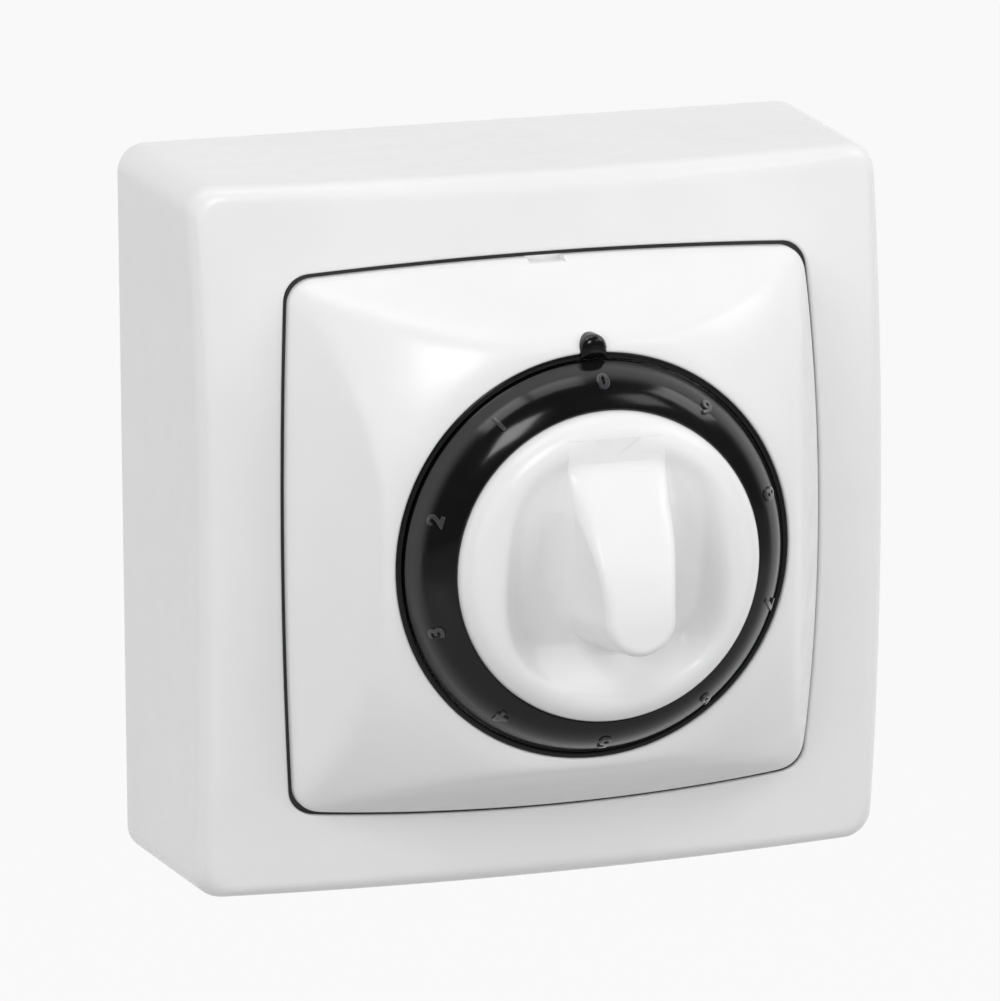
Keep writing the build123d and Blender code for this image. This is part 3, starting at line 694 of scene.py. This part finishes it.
def grip_outline(spread, side_steps=56, nose_steps=30, top_steps=14):
    """Outline of the grip's crest from the front, clockwise from the top, spread outwards."""
    right = []
    for share in np.linspace(0, 1, top_steps, endpoint=False):
        right.append((grip_half(grip_root_place) * share, grip_root_place, 0, 1))
    for share in np.linspace(0, 1, side_steps, endpoint=False):
        z = grip_root_place + (grip_nose_middle - grip_root_place) * share
        right.append((grip_half(z), z, 1, 0))
    for angle in np.linspace(0, math.pi / 2, nose_steps, endpoint=False):
        c, d = math.cos(angle), math.sin(angle)
        right.append((grip_nose_half * c, grip_nose_middle - grip_nose_half * d, c, -d))
    right.append((0, grip_nose_end, 0, -1))
    right = np.array(right)
    left = right[1:-1][::-1] * np.array([-1, 1, -1, 1])
    whole = np.concatenate([right, left])
    return whole[:, :2] + whole[:, 2:] * np.broadcast_to(spread, len(whole))[:, None]


def grip_foot(crest_flat):
    """Outline of the grip's foot on the cap, its height, the crest's rise and the round at the foot."""
    z = crest_flat[:, 1]
    crest = crest_height(z)
    share = soft_step((z - foot_round_from) / foot_round_over)
    foot_round = grip_nose_round + (grip_foot_round - grip_nose_round) * share

    def hold(rise):
        held = soft_most([rise, np.zeros(len(rise))], grip_softness(z))
        return held, np.minimum(foot_round, foot_round_share * held)

    rise, fillet = hold(crest - knob_height(crest_flat))
    for _ in range(foot_rounds):
        foot = grip_outline(rise * grip_draft + fillet)
        base = knob_height(foot)
        rise, fillet = hold(crest - base)
    return foot, base, rise, fillet


def build_knob():
    """The cap from its back to the grip's foot, then the grip up its walls and over its crest."""
    crest_flat = grip_outline(0.0)
    foot, base, rise, fillet = grip_foot(crest_flat)
    rim = circle(knob_radius, foot)
    loops = [at_depth(rim, knob_shell_back)]
    for t in np.linspace(0, 1, cap_steps):
        flat = rim + (foot - rim) * (1 - math.cos(math.pi * t)) / 2
        loops.append(at_depth(flat, dial_top_depth + knob_height(flat)))
    wall_turn = math.pi / 2 - math.atan(grip_draft)
    for angle in np.linspace(0, wall_turn, grip_foot_steps)[1:]:
        height = fillet * (1 - math.cos(angle))
        out = fillet * (1 - math.sin(angle)) + (rise - height) * grip_draft
        loops.append(at_depth(grip_outline(out), dial_top_depth + base + height))
    top_share = soft_step((crest_flat[:, 1] - top_soft_from) / top_soft_over)
    edge_round = grip_edge_round + grip_top_soft * top_share
    start = fillet * (1 - math.cos(wall_turn))
    stop = rise - np.minimum(edge_round, edge_round_share * rise)
    for share in np.linspace(0, 1, grip_wall_steps)[1:]:
        height = start + np.maximum(stop - start, 0) * share
        out = (rise - height) * grip_draft
        loops.append(at_depth(grip_outline(out), dial_top_depth + base + height))
    brow = grip_outline(-edge_round)
    brow_loop = at_depth(brow, dial_top_depth + crest_top(brow))
    corner = at_depth(crest_flat, dial_top_depth + base + rise)
    loops += [*bend(loops[-1], corner, brow_loop, grip_edge_steps, slack_bend), brow_loop]
    spine_places = np.clip(brow[:, 1], grip_nose_middle, grip_spine_end)
    spine = np.stack([np.zeros(len(brow)), spine_places], 1)
    for share in np.linspace(0, 1, grip_top_steps)[1:]:
        flat = brow + (spine - brow) * share
        loops.append(at_depth(flat, dial_top_depth + crest_top(flat)))
    # The last loop lies on a line and closes by itself, so only the first has a cap
    piece = skin("knob_shell", loops, caps=(0,), sharp_angle=knob_sharp_degrees)
    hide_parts("knob")
    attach(piece, "dial")
    return piece


# Materials: texture scales per metre, reliefs in metres
plain_detail = 4.0
grain_detail = 3.0
texture_roughness = 0.55
ramp_places = (0.3, 0.7)
plastic_drift_scale = 60
plastic_gloss_scale = 240
plastic_ior = 1.5
coat_roughness = 0.04
metal_drift_scale = 120
metal_line_scale = 900
metal_line_stretch = (0.04, 1, 1)
metal_line_relief = 4e-6
metal_rough = (0.25, 0.42)


def new_material(name):
    """A material with its tree and its surface shader."""
    material = bpy.data.materials.new(name)
    material.use_nodes = True
    tree = material.node_tree
    return material, tree, tree.nodes["Principled BSDF"]


def grey(value):
    """A colour with three like parts."""
    return value, value, value


def noise(tree, scale, detail=plain_detail, stretch=(1, 1, 1)):
    """Fine noise in object space."""
    place = tree.nodes.new("ShaderNodeTexCoord")
    mapping = tree.nodes.new("ShaderNodeMapping")
    mapping.inputs["Scale"].default_value = stretch
    texture = tree.nodes.new("ShaderNodeTexNoise")
    texture.inputs["Scale"].default_value = scale
    texture.inputs["Detail"].default_value = detail
    texture.inputs["Roughness"].default_value = texture_roughness
    tree.links.new(place.outputs["Object"], mapping.inputs["Vector"])
    tree.links.new(mapping.outputs["Vector"], texture.inputs["Vector"])
    return texture.outputs["Fac"]


def ramp(tree, value, low, high, socket):
    """Feeds a socket with a colour that runs from low to high over the middle of a texture's range."""
    node = tree.nodes.new("ShaderNodeValToRGB")
    for element, position, shade in zip(node.color_ramp.elements, ramp_places, (low, high)):
        element.position = position
        element.color = (*shade, 1)
    tree.links.new(value, node.inputs["Fac"])
    tree.links.new(node.outputs["Color"], socket)


def bump(tree, shader, value, distance):
    """Fine relief of a real height in metres."""
    node = tree.nodes.new("ShaderNodeBump")
    node.inputs["Distance"].default_value = distance
    node.inputs["Strength"].default_value = 1.0
    tree.links.new(value, node.inputs["Height"])
    tree.links.new(node.outputs["Normal"], shader.inputs["Normal"])


def moulded(name, dark, light, rough, grain, relief, coat=0.0):
    """Moulded plastic with faint colour drift, uneven gloss and a fine moulded grain."""
    material, tree, shader = new_material(name)
    ramp(tree, noise(tree, plastic_drift_scale), dark, light, shader.inputs["Base Color"])
    gloss = noise(tree, plastic_gloss_scale)
    ramp(tree, gloss, grey(rough[0]), grey(rough[1]), shader.inputs["Roughness"])
    bump(tree, shader, noise(tree, grain, grain_detail), relief)
    shader.inputs["IOR"].default_value = plastic_ior
    shader.inputs["Coat Weight"].default_value = coat
    shader.inputs["Coat Roughness"].default_value = coat_roughness
    return material


def brushed(name, dark, light):
    """Rolled metal with fine drawn lines."""
    material, tree, shader = new_material(name)
    lines = noise(tree, metal_line_scale, stretch=metal_line_stretch)
    ramp(tree, noise(tree, metal_drift_scale), dark, light, shader.inputs["Base Color"])
    ramp(tree, lines, grey(metal_rough[0]), grey(metal_rough[1]), shader.inputs["Roughness"])
    bump(tree, shader, lines, metal_line_relief)
    shader.inputs["Metallic"].default_value = 1.0
    return material


materials = {
    "white_shell": moulded(
        "white_gloss", grey(0.80), grey(0.83),
        rough=(0.2, 0.27), grain=700, relief=3e-6,
    ),
    "black_gloss": moulded(
        "black_polish", (0.004, 0.004, 0.0045), (0.007, 0.007, 0.0075),
        rough=(0.12, 0.18), grain=500, relief=2e-6,
    ),
    # Numerals: the dial's black plastic with a lighter base colour, which is painted sheen so they look
    # lit; the coat is real gloss
    "numeral_relief": moulded(
        "black_relief_painted_sheen", (0.03, 0.03, 0.032), (0.05, 0.05, 0.053),
        rough=(0.2, 0.3), grain=500, relief=2e-6, coat=0.6,
    ),
    "base_moulding": moulded(
        "base_plastic", (0.62, 0.62, 0.60), (0.68, 0.68, 0.66),
        rough=(0.45, 0.6), grain=2600, relief=2e-5,
    ),
    "block_moulding": moulded(
        "block_plastic", (0.02, 0.02, 0.022), (0.035, 0.035, 0.038),
        rough=(0.4, 0.6), grain=2600, relief=2e-5,
    ),
    "brass": brushed("rolled_brass", (0.55, 0.38, 0.12), (0.66, 0.47, 0.18)),
    "steel": brushed("zinc_steel", (0.45, 0.46, 0.47), (0.58, 0.59, 0.6)),
}


def dress(piece, slot):
    """Gives a piece one material."""
    piece.data.materials.clear()
    piece.data.materials.append(materials[slot])


def dress_frame():
    """Gives every CAD node the material of its slot."""
    slots = {part["node"]: part["material_slot"] for part in frame["record"]["subparts"]}
    for node, piece in frame["nodes"].items():
        dress(piece, slots[node])


# Camera: angles in radians, lengths in millimetres, and the focal length in pixels of the photo
camera_azimuth = math.radians(-18.814)
camera_elevation = math.radians(12.946)
camera_roll = math.radians(-0.279)
camera_distance = 984.8
aim_right = 4.155
aim_up = -3.28
focal_pixels = 8194.5
image_height = 1001
sensor = 36.0
nearest_metres = 0.05
farthest_metres = 50


def build_camera():
    """The camera of the photo."""
    a, e = camera_azimuth, camera_elevation
    forward = Vector((-math.sin(a) * math.cos(e), math.cos(a) * math.cos(e), -math.sin(e)))
    level = Vector((math.cos(a), math.sin(a), 0))
    upright = level.cross(forward)
    c, s = math.cos(camera_roll), math.sin(camera_roll)
    right = level * c + upright * s
    up = upright * c - level * s
    place = (right * aim_right + up * aim_up - forward * camera_distance) * MM
    camera = add_object("camera", bpy.data.cameras.new("camera"))
    camera.matrix_world = Matrix.Translation(place) @ Matrix((right, up, -forward)).transposed().to_4x4()
    camera.data.sensor_width = sensor
    camera.data.lens = sensor * focal_pixels / image_height
    camera.data.clip_start = nearest_metres
    camera.data.clip_end = farthest_metres
    bpy.context.scene.camera = camera


# Lamps: name, place, side in metres, power in watts, and whether glossy surfaces mirror it
lamps = (
    ("front_left", (-0.974, -0.817, 0.27), 0.7, 5.0, False),
    ("far_left", (-1.267, -0.111, 0.27), 0.7, 0.65, False),
    ("front_right", (0.817, -0.974, 0.27), 0.7, 4.53, False),
    ("far_right", (1.228, -0.329, 0.27), 0.7, 1.9, False),
    ("upper_left", (-0.35, -0.963, 0.8), 0.4, 2.9, True),
    ("upper_right", (0.658, -0.785, 0.8), 0.3, 0.52, True),
    ("upper_far_right", (0.99, -0.265, 0.8), 0.5, 1.9, True),
    ("high_left", (-0.547, -0.048, 1.178), 0.5, 1.63, True),
    ("top", (0.0, -0.05, 1.3), 0.5, 1.08, True),
)


def panel(name, place, side, power, mirrored):
    """A soft square lamp that looks at the switch."""
    lamp = bpy.data.lights.new(name, "AREA")
    lamp.size = side
    lamp.energy = power
    holder = add_object(name, lamp)
    holder.location = place
    holder.rotation_mode = "QUATERNION"
    holder.rotation_quaternion = (-Vector(place)).to_track_quat("-Z", "Y")
    holder.visible_glossy = mirrored


# World and floor, in metres: white behind the switch, and a plain soft light for the rest
world_light = 0.43
mirror_light = 0.05
floor_level = -0.35
floor_size = 6.0
floor_shade = 0.4
floor_roughness = 0.9
floor_glow = 0.93
backdrop_blend = 0.2


def calculate(tree, operation, first, second):
    """The result of one sum on sockets or numbers."""
    node = tree.nodes.new("ShaderNodeMath")
    node.operation = operation
    for socket, value in zip(node.inputs, (first, second)):
        if isinstance(value, float):
            socket.default_value = value
        else:
            tree.links.new(value, socket)
    return node.outputs[0]


def behind_share(tree, kind):
    """1 for the backdrop and the floor behind the switch and 0 for those on the side of the room."""
    place = tree.nodes.new("ShaderNodeTexCoord")
    axes = tree.nodes.new("ShaderNodeSeparateXYZ")
    tree.links.new(place.outputs[kind], axes.inputs[0])
    reach = tree.nodes.new("ShaderNodeMapRange")
    reach.interpolation_type = "SMOOTHSTEP"
    reach.inputs["From Min"].default_value = -backdrop_blend
    reach.inputs["From Max"].default_value = backdrop_blend
    tree.links.new(axes.outputs["Y"], reach.inputs["Value"])
    return reach.outputs["Result"]


def seen_share(tree, kind):
    """1 for what the camera sees, straight, through glass and mirrored from behind the switch."""
    behind = behind_share(tree, kind)
    path = tree.nodes.new("ShaderNodeLightPath")
    glossy = calculate(tree, "MULTIPLY", path.outputs["Is Glossy Ray"], behind)
    seen = calculate(tree, "MAXIMUM", path.outputs["Is Camera Ray"], path.outputs["Is Transmission Ray"])
    return calculate(tree, "MAXIMUM", seen, glossy)


def background(tree, strength):
    """A white world of one strength."""
    node = tree.nodes.new("ShaderNodeBackground")
    node.inputs["Color"].default_value = (*grey(1), 1)
    node.inputs["Strength"].default_value = strength
    return node.outputs[0]


def mixed(tree, share, first, second):
    """The first shader where share is 0 and the second where it is 1."""
    node = tree.nodes.new("ShaderNodeMixShader")
    for socket, value in zip(node.inputs, (share, first, second)):
        tree.links.new(value, socket)
    return node.outputs[0]


def build_world():
    """White behind the switch for what sees it, and a plain soft light for everything else."""
    world = bpy.data.worlds.new("studio")
    bpy.context.scene.world = world
    world.use_nodes = True
    tree = world.node_tree
    tree.nodes.clear()
    path = tree.nodes.new("ShaderNodeLightPath")
    output = tree.nodes.new("ShaderNodeOutputWorld")
    room = background(tree, mirror_light)
    soft = background(tree, world_light)
    plain = mixed(tree, path.outputs["Is Glossy Ray"], soft, room)
    seen = mixed(tree, seen_share(tree, "Generated"), plain, background(tree, 1.0))
    tree.links.new(seen, output.inputs["Surface"])


def build_floor():
    """A pale floor below the switch, white to the camera and in reflections."""
    mesh = bpy.data.meshes.new("floor")
    corners = [(-1, -1), (1, -1), (1, 1), (-1, 1)]
    points = [(x * floor_size, y * floor_size, floor_level) for x, y in corners]
    mesh.from_pydata(points, [], [(0, 1, 2, 3)])
    floor = add_object("floor", mesh)
    material, tree, shader = new_material("floor_white")
    shader.inputs["Base Color"].default_value = (*grey(floor_shade), 1)
    shader.inputs["Roughness"].default_value = floor_roughness
    glow = tree.nodes.new("ShaderNodeEmission")
    glow.inputs["Strength"].default_value = 1.0
    share = calculate(tree, "MULTIPLY", seen_share(tree, "Object"), floor_glow)
    whole = mixed(tree, share, shader.outputs[0], glow.outputs[0])
    tree.links.new(whole, tree.nodes["Material Output"].inputs["Surface"])
    floor.data.materials.append(material)


build_camera()
dress_frame()
dress(build_surround(), "white_shell")
dress(build_cover(), "white_shell")
# The dark strip in the seam is painted shade between the white parts
dress(build_seal(), "block_moulding")
dress(build_index_ring(), "black_gloss")
dress(build_index_tab(), "black_gloss")
dress(build_dial(), "black_gloss")
# The numerals' lighter black is painted sheen
dress(build_numerals(), "numeral_relief")
dress(build_knob(), "white_shell")
build_world()
build_floor()
for lamp in lamps:
    panel(*lamp)
bpy.context.scene.view_settings.view_transform = "Standard"
